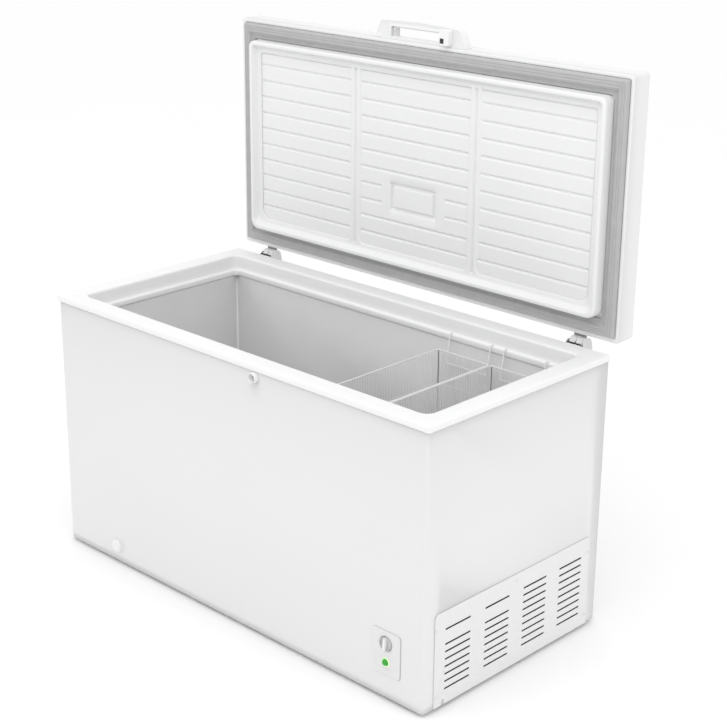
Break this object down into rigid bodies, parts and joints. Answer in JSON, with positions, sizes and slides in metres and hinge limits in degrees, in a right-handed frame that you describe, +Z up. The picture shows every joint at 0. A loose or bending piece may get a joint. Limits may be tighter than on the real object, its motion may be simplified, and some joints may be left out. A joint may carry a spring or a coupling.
{
  "type": "chest freezer",
  "caption": "Long chest freezer with its lid open: stepped tub, hanging wire baskets, hinged lid with an arched handle, and a louvred side cover over the machine compartment.",
  "frame": {"origin": "on the floor, under the middle of the freezer's whole extent with the lid open", "axes": "+Z up, +X to the right of a user who stands in front, +Y from the front to the back; the lid is hinged along X at the back"},
  "size_m": [1.435, 0.8178, 1.5511],
  "materials": {
    "white_paint": "glossy white coated sheet",
    "white_plastic": "satin white moulding",
    "grey_plastic": "matt grey",
    "black_plastic": "matt black",
    "liner_metal": "embossed, semi-matt",
    "foam": "rigid foam",
    "gasket_rubber": "soft matt",
    "zinc_steel": "bright zinc",
    "white_wire": "plastic-coated wire",
    "black_paint": "semi-gloss black",
    "copper": "drawn tube",
    "green_lens": "clear gloss"
  },
  "bodies": {
    "cabinet": {"outer_shell": "white_paint", "rear_panel": "white_paint", "side_grille": "white_paint", "collar_front": "white_plastic", "collar_back": "white_plastic", "collar_left": "white_plastic", "collar_right": "white_plastic", "control_panel": "white_plastic", "lock_housing": "white_plastic", "drain_outlet": "white_plastic", "hinge_cover_left": "white_plastic", "hinge_cover_right": "white_plastic", "foot_front_left": "grey_plastic", "foot_front_right": "grey_plastic", "foot_rear_left": "grey_plastic", "foot_rear_right": "grey_plastic", "cord_gland": "black_plastic", "liner_front": "liner_metal", "liner_back": "liner_metal", "liner_left": "liner_metal", "liner_right": "liner_metal", "liner_floor": "liner_metal", "liner_step": "liner_metal", "insulation": "foam", "base_pan": "zinc_steel", "compressor_tray": "zinc_steel", "hinge_base_left": "zinc_steel", "hinge_base_right": "zinc_steel", "hinge_pin_left": "zinc_steel", "hinge_pin_right": "zinc_steel", "hinge_spring_left": "zinc_steel", "hinge_spring_right": "zinc_steel", "thermostat_body": "zinc_steel", "grille_screw_1": "zinc_steel", "grille_screw_2": "zinc_steel", "grille_screw_3": "zinc_steel", "grille_screw_4": "zinc_steel", "grille_screw_5": "zinc_steel", "compressor": "black_paint", "evaporator_coil": "copper", "condenser_coil": "copper", "discharge_tube": "copper", "suction_tube": "copper", "filter_drier": "copper", "power_lamp": "green_lens"},
    "lid": {"lid_shell": "white_paint", "lid_liner": "white_plastic", "lid_foam": "foam", "lid_gasket": "gasket_rubber", "lid_handle": "white_plastic", "lock_catch": "white_plastic", "hinge_leaf_left": "zinc_steel", "hinge_leaf_right": "zinc_steel"},
    "thermostat_knob": {"thermostat_knob": "grey_plastic"},
    "lock_cylinder": {"lock_cylinder": "zinc_steel"},
    "drain_spout": {"drain_spout": "white_plastic"},
    "drain_dial": {"drain_dial": "white_plastic"},
    "drain_plug": {"drain_plug": "white_plastic"},
    "basket_left": {"basket_left": "white_wire"},
    "basket_right": {"basket_right": "white_wire"}
  },
  "joints": [
    {"name": "lid_hinge", "type": "hinge", "parent": "cabinet", "child": "lid", "pos_m": [0, 0.3279, 0.774], "axis": [1, 0, 0], "range_deg": [0, 90]},
    {"name": "thermostat_turn", "type": "hinge", "parent": "cabinet", "child": "thermostat_knob", "pos_m": [0.59, -0.3949, 0.162], "axis": [0, 1, 0], "range_deg": [-135, 135]},
    {"name": "lock_turn", "type": "hinge", "parent": "cabinet", "child": "lock_cylinder", "pos_m": [0.12, -0.3949, 0.743], "axis": [0, 1, 0], "range_deg": [0, 90]},
    {"name": "drain_pull", "type": "slide", "parent": "cabinet", "child": "drain_spout", "axis": [0, -1, 0], "range_m": [0, 0.03]},
    {"name": "drain_turn", "type": "hinge", "parent": "drain_spout", "child": "drain_dial", "pos_m": [-0.4838, -0.3949, 0.0578], "axis": [0, 1, 0], "range_deg": [0, 180]},
    {"name": "drain_plug_lift", "type": "slide", "parent": "cabinet", "child": "drain_plug", "axis": [0, 0, -1], "range_m": [-0.04, 0]},
    {"name": "basket_left_lift", "type": "slide", "parent": "cabinet", "child": "basket_left", "axis": [0, 0, -1], "range_m": [-0.25, 0]},
    {"name": "basket_right_lift", "type": "slide", "parent": "cabinet", "child": "basket_right", "axis": [0, 0, -1], "range_m": [-0.25, 0]}
  ]
}
